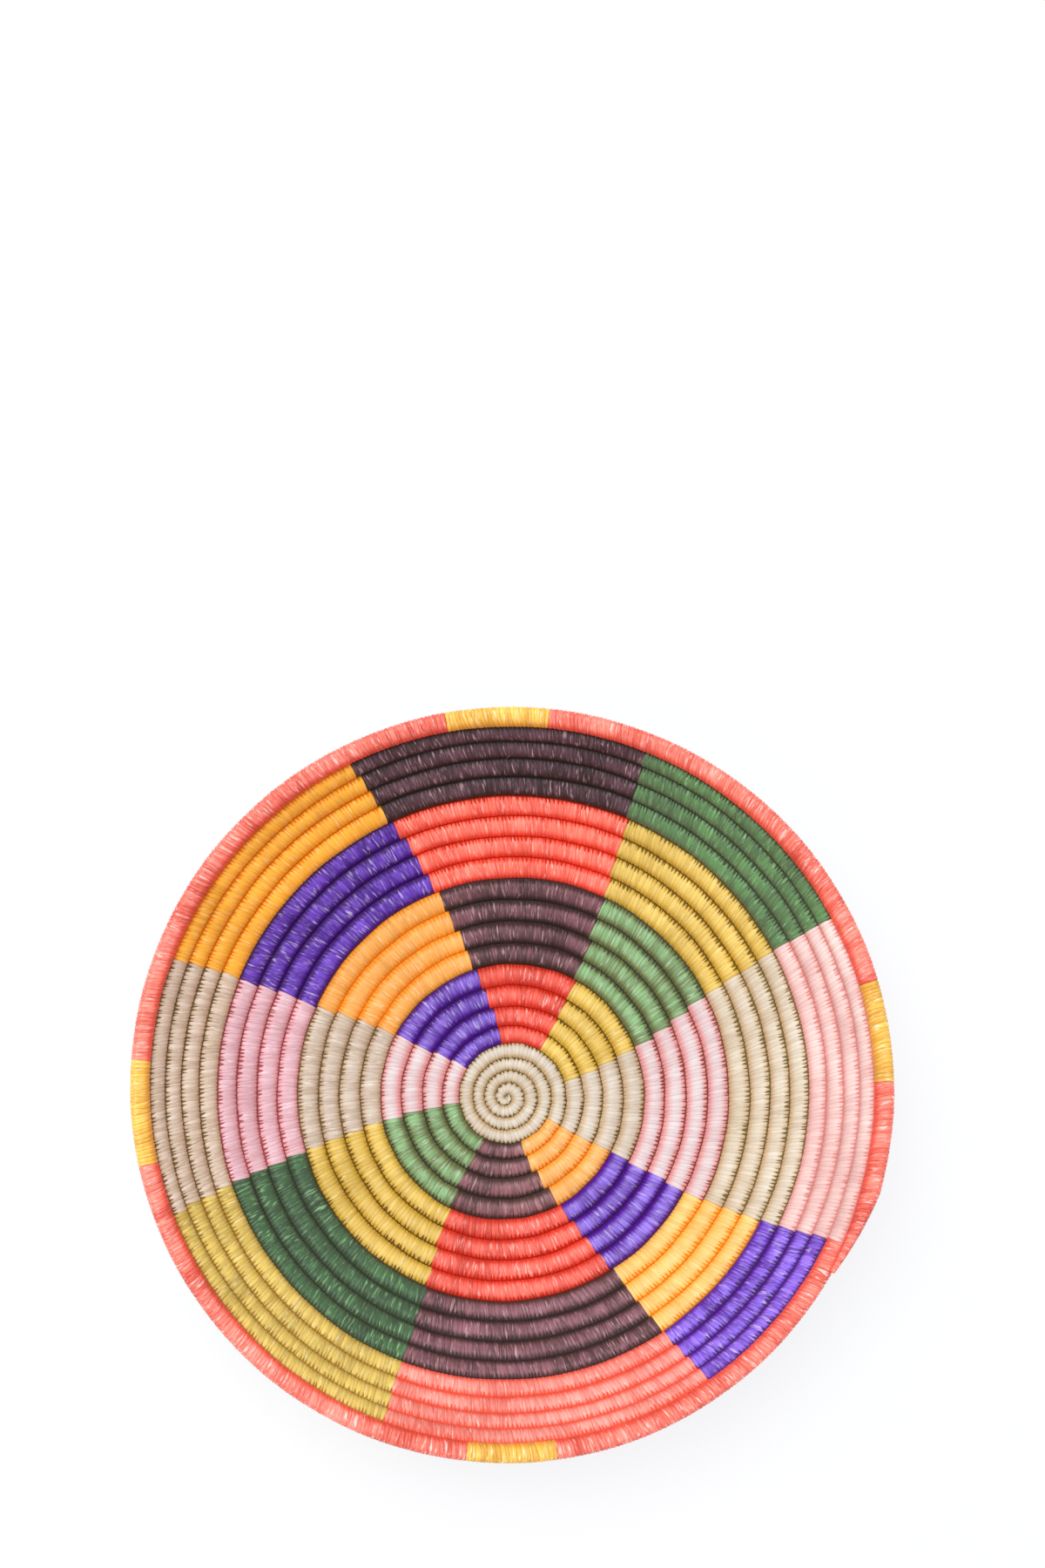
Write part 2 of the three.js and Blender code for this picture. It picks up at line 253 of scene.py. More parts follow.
# Collects closed tubes and turns them into one mesh, with the strand count and the place round as its UV map.
class Bundle:
    def __init__(self):
        self.points, self.faces, self.maps, self.count = [], [], [], 0

    # Adds loops of vertices and the quads between them, and returns the number of the first vertex.
    def addTube(self, loops, along, inward=False, roundFrom=0.0):
        start, (loopCount, around, _) = self.count, loops.shape
        self.points.append(loops.reshape(-1, 3))
        self.count += loopCount * around
        self.faces.append(tubeFaces(start, loopCount, around, inward))
        loop, corner = np.meshgrid(np.arange(loopCount - 1), np.arange(around), indexing="ij")
        alongs = np.stack((along[loop], along[loop], along[loop + 1], along[loop + 1]), axis=-1)
        rounds = np.stack((corner, corner + 1, corner + 1, corner), axis=-1) / around + roundFrom
        maps = np.stack((alongs, rounds), axis=-1).reshape(-1, 4, 2)
        self.maps.append(maps[:, ::-1] if inward else maps)
        return start

    # Closes a tube with one flat face at the loop that starts at a vertex. It looks along the tube or back.
    def addLid(self, start, around, along, forward, roundFrom=0.0):
        corners = np.arange(around)
        corners = corners if forward else corners[::-1]
        self.faces.append((start + corners)[None, :])
        self.maps.append(np.stack((np.full(around, along), corners / around + roundFrom), axis=-1)[None])

    # Closes the end of a sleeve with quads from its outer loop to its inner one.
    def addCollar(self, outer, inner, around, along, forward):
        corner = np.arange(around)
        after = (corner + 1) % around
        quads = np.stack((outer + corner, outer + after, inner + after, inner + corner), axis=-1)
        rounds = np.stack((corner, corner + 1, corner + 1, corner), axis=-1) / around
        maps = np.stack((np.full_like(rounds, along), rounds), axis=-1)
        self.faces.append(quads if forward else quads[:, ::-1])
        self.maps.append(maps if forward else maps[:, ::-1])

    # The object: vertices in metres, smooth but for its lids, at the origin with its place in its mesh.
    def makePiece(self, name, finish):
        points = np.concatenate(self.points) / 1000
        corners = np.concatenate([face.ravel() for face in self.faces])
        sizes = np.concatenate([np.full(len(face), face.shape[1]) for face in self.faces])
        smooth = np.concatenate([np.full(len(face), len(face) > 1) for face in self.faces])
        maps = np.concatenate([part.reshape(-1, 2) for part in self.maps])
        mesh = bpy.data.meshes.new(name)
        mesh.vertices.add(len(points))
        mesh.vertices.foreach_set("co", points.ravel().astype(np.float32))
        mesh.loops.add(len(corners))
        mesh.loops.foreach_set("vertex_index", corners.astype(np.int32))
        mesh.polygons.add(len(sizes))
        starts = np.concatenate(([0], np.cumsum(sizes)[:-1]))
        mesh.polygons.foreach_set("loop_start", starts.astype(np.int32))
        mesh.polygons.foreach_set("use_smooth", smooth)
        mesh.uv_layers.new(name="wrap").data.foreach_set("uv", maps.ravel().astype(np.float32))
        mesh.update(calc_edges=True)
        mesh.validate()
        mesh.materials.append(finish)
        piece = bpy.data.objects.new(name, mesh)
        bpy.context.scene.collection.objects.link(piece)
        return piece


passage = {
    "sewnEdge": 1.3,  # sisal left at the seams
    "wrapThickness": 1.1,  # sisal over and under the grass
    "loopsPerTurn": 90,
}


# Loops of the passage in a row, or of the grass in it, which is smaller by the clearance: an ellipse. Ridges
# may wind along it, by a cosine round the section. Ridge is their height as a share of the section, and twist
# is how many of them wind past a place in one turn of the coil.
def passageLoops(turn, fromAngle, toAngle, clearance=0, around=strand["around"], ridge=0, ridges=0, twist=0):
    count = max(2, int(passage["loopsPerTurn"] * (toAngle - fromAngle) / 360))
    angle = np.linspace(fromAngle, toAngle, count + 1)[:, None]
    row = coilRow(turn, angle)
    inner, outer = seamDistance(row), seamDistance(row + 1)
    half = halfThickness(row + 0.5)
    turnRound = np.linspace(0, 2 * np.pi, around, endpoint=False)[None, :]
    ripple = 1 + ridge * np.cos(ridges * turnRound + np.radians(angle) * twist)
    width = ((outer - inner) / 2 - passage["sewnEdge"] - clearance) * np.cos(turnRound) * ripple
    height = (half - passage["wrapThickness"] - clearance) * np.sin(turnRound) * ripple
    return wallPoint(angle, (inner + outer) / 2 + width, height, half), angle[:, 0]


# A wrapped length as one closed sleeve round its passage. The passage is open at an end unless it starts
# or stops short of it, and then it is blind there. Returns the number of strands.
def addSleeve(bundle, turn, fromAngle, toAngle, firstStrand, seed, boreFrom=None, boreTo=None, **shape):
    loops, place, count = wrapLoops(turn, fromAngle, toAngle, seed, **shape)
    around = strand["around"]
    along = place + firstStrand
    openStart, openEnd = boreFrom is None, boreTo is None
    bore, angles = passageLoops(turn, fromAngle if openStart else boreFrom, toAngle if openEnd else boreTo)
    shell = bundle.addTube(loops, along)
    inside = bundle.addTube(bore, np.interp(angles, (fromAngle, toAngle), (along[0], along[-1])), inward=True)
    lastShell = shell + (len(loops) - 1) * around
    lastInside = inside + (len(bore) - 1) * around
    if openStart:
        bundle.addCollar(shell, inside, around, along[0], forward=False)
    else:
        bundle.addLid(shell, around, along[0], forward=False)
        bundle.addLid(inside, around, along[0], forward=True)
    if openEnd:
        bundle.addCollar(lastShell, lastInside, around, along[-1], forward=True)
    else:
        bundle.addLid(lastShell, around, along[-1], forward=True)
        bundle.addLid(lastInside, around, along[-1], forward=False)
    return count


fuzz = {
    "perRow": 0.9,  # stray fibres on one wrapped length of a row, on average
    "thickness": 0.11,  # at the root
    "taper": 0.6,  # share of the thickness that is lost at the tip
    "length": (2.5, 7.0),
    "lift": (0.1, 1.1),  # how far the bow stands off the crown
    "clear": 0.02,  # room between the crown and a fibre that lies on it
    "lean": 0.9,  # radians off square to the row, at most
    "bends": (0.8, 0.4),  # greatest bend along the row, in one bow and in two
    "root": 0.8,  # where it starts, as a share of the way from the crown to a seam
    "limit": 0.98,  # where it ends at most
    "crownSquareness": 2.3,  # exponent of the crown that it bends over
    "bowFullness": 0.8,  # exponent of the bow: less is fuller
    "loops": 9,
    "around": 3,
    "colourDraw": 500,  # range of the strand number that a fibre takes in the UV map
    "mapTurn": 2.0,  # where fibres lie round the section in the UV map, past the wraps' 0 to 1
    "mapLimits": (1.4, 1.5),  # between which the finish tells them from the wraps
}


# Path of a stray fibre: it leaves a seam, crosses the crown and stands off it in a bow. It is a straight run
# across the row plus two sine bends, raised off the superellipse of the section by a half sine.
def fibrePath(draw, turn, angle):
    row = coilRow(turn, angle)
    inner, outer = float(seamDistance(row)), float(seamDistance(row + 1))
    reach, half = (outer - inner) / 2, float(halfThickness(row + 0.5))
    radius = float(wallRadius((inner + outer) / 2, 0))
    length = draw.uniform(*fuzz["length"])
    lean = draw.uniform(-fuzz["lean"], fuzz["lean"])
    t = np.linspace(0, 1, fuzz["loops"])
    oneBow, twoBows = (draw.uniform(-bend, bend) for bend in fuzz["bends"])
    bend = oneBow * np.sin(np.pi * t) + twoBows * np.sin(2 * np.pi * t)
    side = draw.choice((-1, 1))
    across = side * (length * t * np.cos(lean) - fuzz["root"] * reach)
    across = np.clip(across, -fuzz["limit"] * reach, fuzz["limit"] * reach)
    along = length * t * np.sin(lean) + bend
    power = fuzz["crownSquareness"]
    surface = half * (1 - np.abs(across / (reach + strand["swell"])) ** power) ** (1 / power)
    bow = draw.uniform(*fuzz["lift"]) * np.sin(np.pi * t) ** fuzz["bowFullness"]
    height = surface + bow + fuzz["clear"]
    return wallPoint(angle + np.degrees(along / radius), (inner + outer) / 2 + across, height, half)


# A stray fibre as a thin tube round its path, whose corners lie in the plane square to it.
def addFibre(bundle, path, along):
    tangent = np.gradient(path, axis=0)
    tangent /= np.linalg.norm(tangent, axis=1, keepdims=True)
    flat = np.cross(tangent, (0.0, 0.0, 1.0))
    flat /= np.maximum(np.linalg.norm(flat, axis=1, keepdims=True), 1e-6)
    steep = np.cross(flat, tangent)
    loops, around = len(path), fuzz["around"]
    thin = fuzz["thickness"] / 2 * (1 - fuzz["taper"] * np.linspace(0, 1, loops))[:, None, None]
    corner = np.arange(around) * 2 * np.pi / around
    ring = flat[:, None] * np.cos(corner)[None, :, None] + steep[:, None] * np.sin(corner)[None, :, None]
    start = bundle.addTube(path[:, None] + thin * ring, np.full(loops, along), roundFrom=fuzz["mapTurn"])
    bundle.addLid(start, around, 0.5, forward=False, roundFrom=fuzz["mapTurn"])
    bundle.addLid(start + (loops - 1) * around, around, 0.5, forward=True, roundFrom=fuzz["mapTurn"])


# The stray fibres on a wrapped length, as many as chance gives.
def addFuzz(bundle, turn, fromAngle, toAngle, seed):
    draw = np.random.default_rng(seed)
    for _ in range(draw.poisson(fuzz["perRow"])):
        path = fibrePath(draw, turn, draw.uniform(fromAngle, toAngle))
        addFibre(bundle, path, draw.uniform(0, fuzz["colourDraw"]))


# A value in a material. It wraps a node's socket, so that plain arithmetic adds the Math nodes.
class Wire:
    def __init__(self, finish, socket):
        self.finish, self.socket = finish, socket

    def math(self, operation, first, second=0.0):
        return self.finish.add("ShaderNodeMath", {"operation": operation}, {0: first, 1: second})

    def __add__(self, other):
        return self.math("ADD", self, other)

    def __radd__(self, other):
        return self.math("ADD", other, self)

    def __sub__(self, other):
        return self.math("SUBTRACT", self, other)

    def __rsub__(self, other):
        return self.math("SUBTRACT", other, self)

    def __mul__(self, other):
        return self.math("MULTIPLY", self, other)

    def __rmul__(self, other):
        return self.math("MULTIPLY", other, self)

    def __pow__(self, other):
        return self.math("POWER", self, other)

    def floor(self):
        return self.math("FLOOR", self)

    def part(self):
        return self.math("FRACT", self)

    def size(self):
        return self.math("ABSOLUTE", self)

    def sine(self):
        return self.math("SINE", self)

    def cosine(self):
        return self.math("COSINE", self)

    def larger(self, other):
        return self.math("MAXIMUM", self, other)

    # 0 below low, 1 above high, and a smooth step between them.
    def rise(self, low, high):
        settings = {"interpolation_type": "SMOOTHSTEP"}
        return self.finish.add("ShaderNodeMapRange", settings, {0: self, 1: low, 2: high, 3: 0.0, 4: 1.0})


# A node material under construction.
class Finish:
    def __init__(self, name):
        self.material = bpy.data.materials.new(name)
        self.material.use_nodes = True
        self.tree = self.material.node_tree
        self.surface = self.tree.nodes["Principled BSDF"]

    # Adds a node of a type: its settings first, then the values or wires of its sockets.
    def add(self, kind, settings, inputs, output=0):
        node = self.tree.nodes.new(kind)
        for key, value in settings.items():
            setattr(node, key, value)
        for key, value in inputs.items():
            self.feed(node.inputs[key], value)
        return Wire(self, node.outputs[output])

    def feed(self, socket, value):
        if isinstance(value, Wire):
            self.tree.links.new(value.socket, socket)
        else:
            socket.default_value = value

    # One colour where the mask is 0 and the other where it is 1.
    def blend(self, mask, first, second):
        return self.add("ShaderNodeMix", {"data_type": "RGBA"}, {0: mask, 6: first, 7: second}, output=2)

    # A colour made lighter or darker by a factor.
    def scaled(self, colour, factor):
        return self.add("ShaderNodeVectorMath", {"operation": "SCALE"}, {0: colour, 3: factor})

    # Strands along the row and turns round its section, as the wrap's UV map gives them.
    def wrapMap(self):
        wrap = self.add("ShaderNodeUVMap", {"uv_map": "wrap"}, {})
        parts = self.add("ShaderNodeSeparateXYZ", {}, {0: wrap})
        return parts, Wire(self, parts.socket.node.outputs[1])

    def point(self, x, y, z=0.0):
        return self.add("ShaderNodeCombineXYZ", {}, {0: x, 1: y, 2: z})

    def noise(self, point, scale, detail=2.0, roughness=0.5):
        values = {"Vector": point, "Scale": scale, "Detail": detail, "Roughness": roughness}
        return self.add("ShaderNodeTexNoise", {}, values)

    # Noise over a wrap, by its cells for each strand and each turn round, and a step from strand to strand.
    def wrapNoise(self, along, turn, cells, detail=2.0, roughness=0.5):
        perStrand, perTurn, step = cells
        moved = along.floor() * step if step else 0.0
        return self.noise(self.point(along * perStrand, turn * perTurn, moved), 1.0, detail, roughness)

    # A steady random value for each whole number.
    def chance(self, number):
        return self.add("ShaderNodeTexWhiteNoise", {"noise_dimensions": "1D"}, {"W": number})


# Linear colour of a hex one: the sRGB curve, channel by channel, times the tone of the channel.
def colourOf(code, tone=(1.0, 1.0, 1.0)):
    channels = [int(code[place:place + 2], 16) / 255 for place in (1, 3, 5)]
    linear = [c / 12.92 if c <= 0.04045 else ((c + 0.055) / 1.055) ** 2.4 for c in channels]
    return (*(min(1.0, share * c) for share, c in zip(tone, linear)), 1.0)


# Colours of each dye: on the flanks; on the crown, a painted highlight where the section faces the light;
# in the notches, painted shade with the grass seen between strands; and of the painted glints and the stray
# fibres. Streak is how strongly single strands and fibres differ and how strong the glints are, and patch how
# strongly the dye bath left lighter and darker lengths.
dyes = {
    "natural": {
        "flank": "#c8ae88", "crown": "#d2cec4", "notch": "#78683c", "glintAndFuzz": "#ece4d6",
        "streak": 0.4, "patch": 0.7,
    },
    "orange": {
        "flank": "#ffac48", "crown": "#ffb868", "notch": "#f08c04", "glintAndFuzz": "#ffe6bc",
        "streak": 0.55, "patch": 0.8,
    },
    "purple": {
        "flank": "#501094", "crown": "#8c6cdc", "notch": "#4e3066", "glintAndFuzz": "#d0c4ea",
        "streak": 0.8, "patch": 1.1,
    },
    "aubergine": {
        "flank": "#4c3634", "crown": "#8a5c66", "notch": "#463838", "glintAndFuzz": "#c8a4ac",
        "streak": 0.8, "patch": 1.4,
    },
    "red": {
        "flank": "#e64434", "crown": "#fb7464", "notch": "#c62e0c", "glintAndFuzz": "#ffd2c8",
        "streak": 0.75, "patch": 1.3,
    },
    "coral": {
        "flank": "#ff6856", "crown": "#e49e92", "notch": "#e66246", "glintAndFuzz": "#ffdcd4",
        "streak": 0.7, "patch": 1.2,
    },
    "light_green": {
        "flank": "#6e7448", "crown": "#88b880", "notch": "#4a5244", "glintAndFuzz": "#c6d6b8",
        "streak": 0.75, "patch": 0.6,
    },
    "dark_green": {
        "flank": "#546850", "crown": "#527c4e", "notch": "#445034", "glintAndFuzz": "#90c088",
        "streak": 0.95, "patch": 1.5,
    },
    "mustard": {
        "flank": "#d0a840", "crown": "#e8c86c", "notch": "#725820", "glintAndFuzz": "#f8e8b6",
        "streak": 0.5, "patch": 0.9,
    },
    "olive": {
        "flank": "#caac54", "crown": "#dec264", "notch": "#a8802a", "glintAndFuzz": "#f4e6b4",
        "streak": 0.8, "patch": 0.75,
    },
    "pink": {
        "flank": "#e49e9e", "crown": "#d4d4d6", "notch": "#9a5042", "glintAndFuzz": "#fce8e6",
        "streak": 0.35, "patch": 0.5,
    },
    "mauve": {
        "flank": "#e4a4ac", "crown": "#d8b4be", "notch": "#a44e4e", "glintAndFuzz": "#f8e4ea",
        "streak": 0.7, "patch": 0.8,
    },
    "salmon": {
        "flank": "#eeaeaa", "crown": "#eed6d0", "notch": "#d8928a", "glintAndFuzz": "#fce8e2",
        "streak": 0.3, "patch": 1.0,
    },
    "taupe": {
        "flank": "#cab094", "crown": "#ccbeb0", "notch": "#7c623c", "glintAndFuzz": "#ece6dc",
        "streak": 0.8, "patch": 0.6,
    },
    "sand": {
        "flank": "#d2b690", "crown": "#d8d2c2", "notch": "#7a683a", "glintAndFuzz": "#f0eadc",
        "streak": 0.45, "patch": 0.7,
    },
}
rimDyes = {
    "coral": {
        "flank": "#f65846", "crown": "#ff8a7a", "notch": "#ff3c1a", "glintAndFuzz": "#ffdcd2",
        "streak": 0.95, "patch": 1.3,
    },
    "yellow": {
        "flank": "#f4ac40", "crown": "#ffc65c", "notch": "#f06204", "glintAndFuzz": "#ffeab8",
        "streak": 1.0, "patch": 0.9,
    },
}
# How each block's colour departs from its dye, in red, green and blue: partly the dye bath, partly painted
# light and shade for where the block lies on the wall.
tones = {
    "ring_1_orange": (0.88, 0.94, 1.1),
    "ring_1_aubergine": (1.15, 1.15, 1.05),
    "ring_1_purple": (0.85, 0.82, 0.85),
    "ring_1_red": (0.85, 0.72, 0.7),
    "ring_1_sand": (0.9, 0.9, 0.95),
    "ring_2_purple": (1.05, 1.15, 1.0),
    "ring_2_red": (0.9, 0.88, 0.88),
    "ring_2_orange": (0.87, 0.83, 0.73),
    "ring_2_aubergine": (0.7, 0.66, 0.64),
    "ring_2_taupe": (0.95, 0.95, 0.95),
    "ring_3_orange": (1.0, 1.25, 1.5),
    "ring_3_dark_green": (0.68, 0.68, 0.75),
    "ring_3_purple": (0.62, 0.42, 0.72),
    "ring_3_red": (1.25, 1.3, 1.25),
    "ring_4_purple": (1.15, 1.1, 1.2),
    "ring_4_taupe": (1.08, 1.03, 1.0),
    "ring_4_orange": (1.0, 0.97, 0.38),
    "ring_4_aubergine": (0.45, 0.5, 0.52),
    "ring_4_dark_green": (1.3, 1.2, 1.15),
}


# The sisal's grain and tone, and the painted highlight, glints and shade on it. Limits are the values between
# which an effect sets in.
grainAndPaintedLight = {
    "fibre": (3.2, 4, 0.37),  # noise cells of the fibres
    "group": (0.31, 1.5, 0),  # of groups of strands
    "glint": (2.4, 5, 0.61),  # of the painted glints, pale fibres where the section faces the light
    "glintLimits": (0.54, 0.7),
    "glintLeast": 0.35,  # share of its glint that the dullest strand has
    "patch": 42.0,  # cells of the dye's patches for each metre
    "varied": (1.7, 0.6),  # how much fibres and whole strands count in how varied the sisal is
    "risen": (0.004, 0.04),  # heights in metres, from the foot to where the wall counts as risen
    "outward": (0.1, 0.28),  # how far out the painted highlight's line lies on the flat foot, and what the wall adds
    "topLimits": (0.5, 1.02),
    "topRisen": 0.05,  # what the wall adds to the upper limit
    "rimFacing": (0.62, 0.78),  # how much up and out count on the rim, whose outer side gets the painted highlight as well
    "rimLimits": (0.3, 0.95),
    "crownPower": 2.2,
    "crownPale": (0.72, 0.22),  # how strong the crown's painted highlight is, and how much less between two strands
    "between": (0.6, 1.0),  # from the middle of a strand, 0, to its edge, 1
    "betweenShade": 0.1,
    "rimBetweenShade": 0.24,
    "light": (0.42, 0.2, 0.5),  # how much the varied sisal, its groups and the patches lighten or darken
    "seamShade": 0.95,
    "roughness": (0.42, 0.3, 0.4),  # on the whole, by the fibre and in the seams
    "specular": 0.25,
    "bump": (0.5, 0.0003),  # strength and metres
}
# The seams, and the wedges between strands beside them, by how near a place lies to the seam: 1 is in it.
# Their dark is painted shade, with the grass seen between strands.
outerSeam = {
    "ragged": 0.08,
    "limits": (0.85, 0.94),
    "wedgeFrom": 0.6,
    "wedgeSlope": 1.7,
    "wedgeStray": 0.9,
    "wedgeLimits": (0.95, 1.15),
    "wedgeEnds": (0.5, 0.7),
    "wedgeShade": 1.0,
}
innerSeam = {
    "ragged": 0.048,
    "limits": (0.89, 0.97),
    "wedgeFrom": 0.75,
    "wedgeSlope": 1.6,
    "wedgeStray": 0.3,
    "wedgeLimits": (0.95, 1.2),
    "wedgeEnds": (0.65, 0.8),
    "wedgeShade": 0.8,
}


# Painted shade, with the grass seen between strands, that a seam puts on a place: fully in the seam, and in a
# wedge that opens towards it from where two strands meet, by the sum of how near both are.
def seamShadeAndGrassAt(seam, near, fromEdge, varied, chance):
    line = (near + varied * seam["ragged"]).rise(*seam["limits"])
    wedge = fromEdge + (near - seam["wedgeFrom"]) * seam["wedgeSlope"] + (chance - 0.5) * seam["wedgeStray"]
    wedge = wedge.rise(*seam["wedgeLimits"]) * near.rise(*seam["wedgeEnds"])
    return line.larger(wedge * seam["wedgeShade"])


# How much painted highlight a place of the section gets by where it faces the light: most on the top of a
# row, which lies further out where the wall has risen, and on the rim from its top over its outer side.
def facing(finish, place, up, out, onRim):
    if onRim:
        upShare, outShare = grainAndPaintedLight["rimFacing"]
        return (up * upShare + out * outShare).rise(*grainAndPaintedLight["rimLimits"])
    parts = finish.add("ShaderNodeSeparateXYZ", {}, {0: place})
    risen = Wire(finish, parts.socket.node.outputs[2]).rise(*grainAndPaintedLight["risen"])
    onFoot, onWall = grainAndPaintedLight["outward"]
    low, high = grainAndPaintedLight["topLimits"]
    return (up + out * (onFoot + onWall * risen)).rise(low, high + grainAndPaintedLight["topRisen"] * risen)


# Dyed sisal: a painted highlight where the section faces the light, with painted glints, and the dye fuller
# on the flanks, fibre by fibre, strand by strand and in patches lighter or darker, with painted shade between
# strands and in the seams, where the grass shows too. Up and out are the sine and cosine of the place round
# the section. On the rim the outer side has no seam.
def sisalFinish(name, look, tone=(1.0, 1.0, 1.0), onRim=False):
    finish = Finish(name)
    along, turn = finish.wrapMap()
    place = finish.add("ShaderNodeTexCoord", {}, {}, output=3)
    bearing = turn * (2 * np.pi)
    up, out = bearing.sine().size(), bearing.cosine()
    fromEdge = (2 * along.part() - 1).size()
    between = fromEdge.rise(*grainAndPaintedLight["between"])

    fibre = finish.wrapNoise(along, turn, grainAndPaintedLight["fibre"], 3.0, 0.6)
    group = finish.wrapNoise(along, turn, grainAndPaintedLight["group"])
    glint = finish.wrapNoise(along, turn, grainAndPaintedLight["glint"]).rise(*grainAndPaintedLight["glintLimits"])
    patch = finish.noise(place, grainAndPaintedLight["patch"])
    each = finish.chance(along.floor())
    other = finish.chance(along.floor() + 0.5)
    byFibre, byStrand = grainAndPaintedLight["varied"]
    varied = byFibre * (fibre - 0.5) + byStrand * (each - 0.5)

    # Painted highlight: the crown's pale colour where the section faces the light, varied like the grain.
    lift = facing(finish, place, up, out, onRim)
    palest, lessBetween = grainAndPaintedLight["crownPale"]
    uneven = look["patch"] * (patch - 0.5) + look["streak"] * varied
    paintedHighlight = lift ** grainAndPaintedLight["crownPower"] * (palest - lessBetween * between + uneven)
    # Painted shade in the seams, where the grass shows between strands too.
    seamShadeAndGrass = seamShadeAndGrassAt(innerSeam, 0 - out, fromEdge, varied, other)
    if not onRim:
        seamShadeAndGrass = seamShadeAndGrass.larger(seamShadeAndGrassAt(outerSeam, out, fromEdge, varied, other))

    byStrand, byGroup, byPatch = grainAndPaintedLight["light"]
    # Painted shade where two strands meet, stronger on the rim.
    shade = 1 - grainAndPaintedLight["rimBetweenShade" if onRim else "betweenShade"] * between
    streaked = look["streak"] * (varied * byStrand + byGroup * (group - 0.5))
    light = (1 + streaked + look["patch"] * byPatch * (patch - 0.5)) * shade
    # Painted glints: pale fibres where the section faces the light. Stray fibres take the same colour.
    bright = glint * lift * (grainAndPaintedLight["glintLeast"] + (1 - grainAndPaintedLight["glintLeast"]) * other)
    colour = finish.blend(paintedHighlight, colourOf(look["flank"], tone), colourOf(look["crown"], tone))
    colour = finish.scaled(colour, light)
    colour = finish.blend(bright * look["streak"], colour, colourOf(look["glintAndFuzz"]))
    colour = finish.blend(seamShadeAndGrass * grainAndPaintedLight["seamShade"], colour, colourOf(look["notch"]))
    colour = finish.blend(turn.rise(*fuzz["mapLimits"]), colour, colourOf(look["glintAndFuzz"]))

    smooth, byFibre, bySeam = grainAndPaintedLight["roughness"]
    strength, distance = grainAndPaintedLight["bump"]
    bump = finish.add("ShaderNodeBump", {}, {"Strength": strength, "Distance": distance, "Height": fibre})
    finish.feed(finish.surface.inputs["Base Color"], colour)
    finish.feed(finish.surface.inputs["Roughness"], smooth + byFibre * (fibre - 0.5) + bySeam * seamShadeAndGrass)
    finish.feed(finish.surface.inputs["Normal"], bump)
    finish.surface.inputs["Specular IOR Level"].default_value = grainAndPaintedLight["specular"]
    return finish.material


straw = {
    "stalk": (0.12, 40, 0),  # noise cells: long along the coil, fine round it
    "limits": (0.35, 0.65),
    "dark": "#8d7740",
    "light": "#cdb67c",
    "roughness": (0.75, 0.2),
    "bump": (0.6, 0.0004),
}


# Dry grass: long pale and brown stalks side by side along the coil.
def grassFinish(name):
    finish = Finish(name)
    along, turn = finish.wrapMap()
    stalk = finish.wrapNoise(along, turn, straw["stalk"], 3.0, 0.6)
    colour = finish.blend(stalk.rise(*straw["limits"]), colourOf(straw["dark"]), colourOf(straw["light"]))
    smooth, byStalk = straw["roughness"]
    strength, distance = straw["bump"]
    bump = finish.add("ShaderNodeBump", {}, {"Strength": strength, "Distance": distance, "Height": stalk})
    finish.feed(finish.surface.inputs["Base Color"], colour)
    finish.feed(finish.surface.inputs["Roughness"], smooth + byStalk * (stalk - 0.5))
    finish.feed(finish.surface.inputs["Normal"], bump)
    return finish.material


finishes = {dye: sisalFinish("sisal_" + dye, look) for dye, look in dyes.items()}
rimFinishes = {dye: sisalFinish("rim_" + dye, look, onRim=True) for dye, look in rimDyes.items()}
finishes["grass"] = grassFinish("grass")
print("finishes made:", len(finishes))


# Hands a finished piece over: it stands for its CAD node and rides on the basket.
def settle(piece, node, slot):
    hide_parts(node)
    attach(piece, "root")


grass = {
    "from": -3.4,  # turn of the coil in which the passage starts
    "gaps": (4.0, 1.0),  # degrees between the passage's ends and the grass
    "shape": {"clearance": 0.35, "around": 16, "ridges": 8, "ridge": 0.05, "twist": 3},
    "mapPerDegree": 1.2,
}
middle = {
    "from": -4.14,  # turn of the coil in which the tip lies
    "eyeRadius": 0.4,  # opening that the innermost turn leaves
    "plugRadius": 1.3,
    "plugTop": 3.1,
    "plugEnds": (0.06, 0.94),  # where the half sine of the plug is cut off
    "plugLoops": 8,
    "plugAround": 12,
}
rim = {
    "yellow": ((82.7, 96.7), (167.3, 183.6), (260.0, 276.0), (344.2, 359.7)),  # angles from and to
    "taper": 377.0,  # where the tail starts to shrink
    "tip": 390.3,
    "tipShare": 0.3,  # what is left of the section at the tip
}
seeds = {"borders": 7, "middle": 1, "blocks": 100, "coral": 300, "yellow": 310, "tail": 320, "fuzz": 1000}
borderStray = 0.45  # how far a block's border strays along each row
borderDraw = np.random.default_rng(seeds["borders"])
borders = borderDraw.uniform(-borderStray, borderStray, (len(sectors), rimRow + 2))
grassFrom = coil["startAngle"] + 360 * grass["from"]
grassTo = 360 * rimRow + rim["taper"]


# Angle at which the strands of a new dye start in a row: the line's, moved a little along the row.
def borderAngle(sector, row):
    if sector == len(sectors):
        return borderAngle(0, row + 1) + 360
    if row == rimRow:
        return lineAngle(sector, row)
    angle = lineAngle(sector, row + 0.5)
    radius = wallRadius(seamDistance(coilRow(row + 0.5, angle)), 0)
    return angle + float(np.degrees(borders[sector, row] / radius))


# The natural middle starts as a thin tip round the eye: its share is the room left outside the eye, over the
# pitch, up to the whole section.
def middleShare(angle):
    row = coilRow(0, angle)
    room = seamDistance(row + 1) - middle["eyeRadius"]
    return np.clip(room / coil["middlePitch"], 0, 1)


